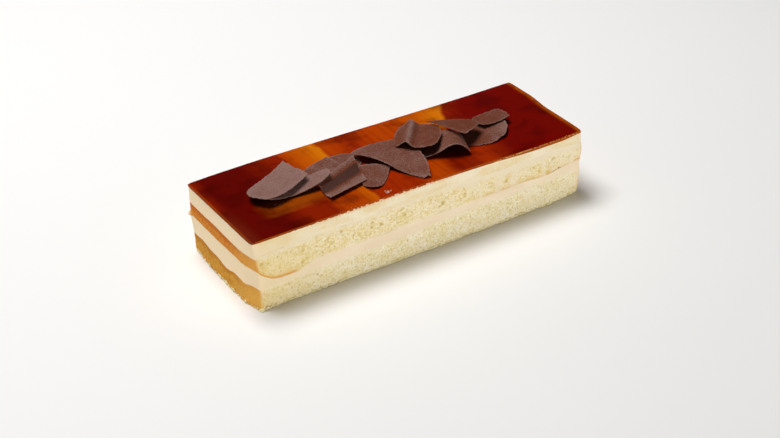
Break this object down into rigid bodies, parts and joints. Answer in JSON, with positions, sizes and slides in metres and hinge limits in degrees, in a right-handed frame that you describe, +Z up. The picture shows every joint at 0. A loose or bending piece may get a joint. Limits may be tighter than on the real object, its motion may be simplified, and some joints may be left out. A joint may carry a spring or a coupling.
{
  "type": "tres leches cake",
  "caption": "Long bar of tres leches cake: soaked sponge and cream in layers, a caramel glaze on top and a heap of curled chocolate shavings.",
  "frame": {"origin": "middle of the underside of the cake", "axes": "+X along the bar, +Y from the cut front face to the back, +Z up"},
  "size_m": [0.31, 0.107, 0.0762],
  "materials": {
    "sponge": "open pale yellow crumb with small pores, browned and soaked at the ends",
    "cream": "smooth pale cream with soft drag marks",
    "glaze": "wet caramel glaze, dark maroon at the ends and amber in brushed bands",
    "chocolate": "matte milk chocolate with fine drag grain"
  },
  "bodies": {
    "root": {"lower_sponge": "sponge", "middle_cream": "cream", "upper_sponge": "sponge", "top_cream": "cream", "caramel_glaze": "glaze", "chocolate_shaving_01": "chocolate", "chocolate_shaving_02": "chocolate", "chocolate_shaving_03": "chocolate", "chocolate_shaving_04": "chocolate", "chocolate_shaving_05": "chocolate", "chocolate_shaving_06": "chocolate", "chocolate_shaving_07": "chocolate", "chocolate_shaving_08": "chocolate", "chocolate_shaving_09": "chocolate", "chocolate_shaving_10": "chocolate", "chocolate_shaving_11": "chocolate", "chocolate_shaving_12": "chocolate"}
  },
  "joints": []
}
